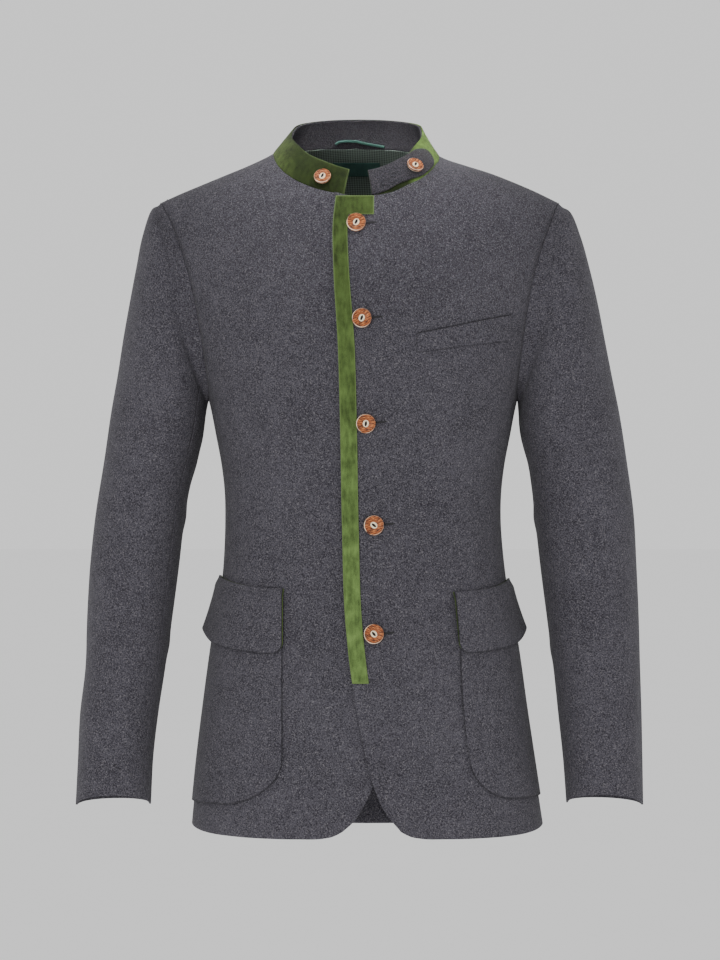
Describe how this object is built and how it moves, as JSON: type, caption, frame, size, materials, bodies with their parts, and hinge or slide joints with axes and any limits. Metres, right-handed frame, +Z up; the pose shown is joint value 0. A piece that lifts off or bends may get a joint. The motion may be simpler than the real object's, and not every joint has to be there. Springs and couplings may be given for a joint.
{
  "type": "tyrolean jacket, worn form",
  "caption": "Hollow worn form of a buttoned loden jacket with a stand collar, suede trim, chest welt, flapped patch pockets and horn buttons.",
  "frame": {"origin": "midway between the two side-neck points, where the wearer's shoulders carry the jacket", "axes": "+Z up, +X to the wearer's left, the front faces -Y"},
  "size_m": [0.6194, 0.2515, 0.7878],
  "materials": {
    "loden_grey": "felted wool",
    "moss_suede": "suede",
    "green_check": "woven check lining",
    "teal": "woven",
    "horn": "satin horn"
  },
  "bodies": {
    "root": {"back": "loden_grey", "back_lining": "green_check", "button_1": "horn", "button_2": "horn", "button_3": "horn", "button_4": "horn", "button_5": "horn", "chest_welt": "loden_grey", "collar_button_left": "horn", "collar_button_right": "horn", "collar_inner": "loden_grey", "collar_outer": "moss_suede", "collar_tab": "loden_grey", "flap_facing_left": "moss_suede", "flap_facing_right": "moss_suede", "flap_left": "loden_grey", "flap_right": "loden_grey", "front_left": "loden_grey", "front_right": "loden_grey", "front_trim": "moss_suede", "hanger_loop": "teal", "neck_label": "teal", "pocket_left": "loden_grey", "pocket_right": "loden_grey", "under_sleeve_left": "loden_grey", "under_sleeve_right": "loden_grey", "upper_sleeve_left": "loden_grey", "upper_sleeve_right": "loden_grey"}
  },
  "joints": []
}
